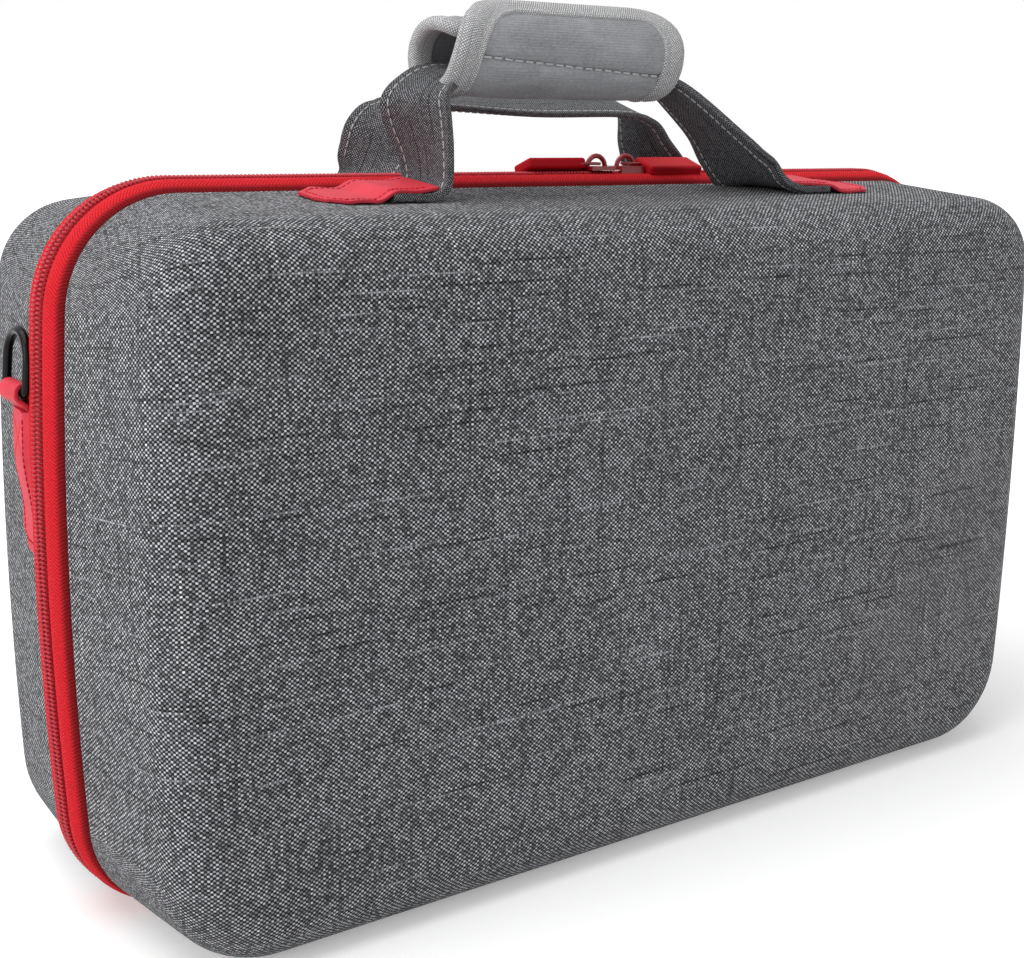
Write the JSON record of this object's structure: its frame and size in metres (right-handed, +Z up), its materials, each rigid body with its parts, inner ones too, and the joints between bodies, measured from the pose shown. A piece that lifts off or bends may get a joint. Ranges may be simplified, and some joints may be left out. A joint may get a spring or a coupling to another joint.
{
  "type": "console storage case",
  "caption": "Moulded carry case for a games console: two cloth-covered shells hinged along the base, a raised zip round the opening, strap handles with a padded grip and side rings.",
  "frame": {"origin": "bottom centre of the case, in the parting plane of the two shells", "axes": "+X to the right as seen from the front, +Y to the rear half, +Z up; the front half faces -Y"},
  "size_m": [0.408, 0.146, 0.2924],
  "materials": {
    "shell_cloth": "heathered grey woven polyester on moulded foam",
    "hinge_cloth": "plain woven cloth",
    "zip_tape": "red herringbone tape",
    "zip_coil": "red nylon coil",
    "slider_enamel": "red enamel on cast metal",
    "link_wire": "red enamel on wire",
    "pull_plastic": "glossy red moulding",
    "strap_cloth": "folded heathered cloth with white edge stitches",
    "grip_foam": "light grey knit on foam",
    "binding_tape": "ribbed woven binding",
    "hook_strip": "hook strip",
    "loop_strip": "loop strip",
    "patch_leather": "smooth red leather-look sheet",
    "tab_leather": "smooth red leather-look sheet",
    "ring_black": "gloss black on bent wire",
    "tray_foam": "fine closed-cell foam",
    "pocket_mesh": "open knitted mesh",
    "hem_elastic": "woven elastic"
  },
  "bodies": {
    "rear_half": {"rear_shell": "shell_cloth", "hinge_strip": "hinge_cloth", "zip_tape_rear": "zip_tape", "zip_coil_rear": "zip_coil", "handle_strap_rear": "strap_cloth", "strap_patch_rear_left": "patch_leather", "strap_patch_rear_right": "patch_leather", "ring_tab_left": "tab_leather", "ring_tab_right": "tab_leather", "ring_patch_left": "tab_leather", "ring_patch_right": "tab_leather", "foam_tray": "tray_foam"},
    "front_half": {"front_shell": "shell_cloth", "zip_tape_front": "zip_tape", "zip_coil_front": "zip_coil", "handle_strap_front": "strap_cloth", "grip_wrap": "grip_foam", "grip_binding": "binding_tape", "grip_hook_strip": "hook_strip", "grip_loop_strip": "loop_strip", "strap_patch_front_left": "patch_leather", "strap_patch_front_right": "patch_leather", "mesh_pocket": "pocket_mesh", "pocket_hem": "hem_elastic"},
    "slider_left": {"zip_slider_left": "slider_enamel"},
    "slider_right": {"zip_slider_right": "slider_enamel"},
    "pull_left": {"pull_link_left": "link_wire", "pull_tab_left": "pull_plastic"},
    "pull_right": {"pull_link_right": "link_wire", "pull_tab_right": "pull_plastic"},
    "ring_left": {"d_ring_left": "ring_black"},
    "ring_right": {"d_ring_right": "ring_black"}
  },
  "joints": [
    {"name": "lid_hinge", "type": "hinge", "parent": "rear_half", "child": "front_half", "pos_m": [0, 0, 0], "axis": [1, 0, 0], "range_deg": [0, 175]},
    {"name": "slider_left_travel", "type": "slide", "parent": "rear_half", "child": "slider_left", "axis": [1, 0, 0], "range_m": [-0.165, 0]},
    {"name": "slider_right_travel", "type": "slide", "parent": "front_half", "child": "slider_right", "axis": [1, 0, 0], "range_m": [0, 0.12]},
    {"name": "pull_left_swing", "type": "hinge", "parent": "slider_left", "child": "pull_left", "pos_m": [0.0153, 0, 0.24025], "axis": [0, 1, 0], "range_deg": [0, 110]},
    {"name": "pull_right_swing", "type": "hinge", "parent": "slider_right", "child": "pull_right", "pos_m": [0.0294, 0, 0.24025], "axis": [0, -1, 0], "range_deg": [0, 110]},
    {"name": "ring_left_swing", "type": "hinge", "parent": "rear_half", "child": "ring_left", "pos_m": [-0.20103, 0.0162, 0.172], "axis": [0, -1, 0], "range_deg": [0, 150]},
    {"name": "ring_right_swing", "type": "hinge", "parent": "rear_half", "child": "ring_right", "pos_m": [0.20103, 0.0162, 0.172], "axis": [0, 1, 0], "range_deg": [0, 150]}
  ]
}
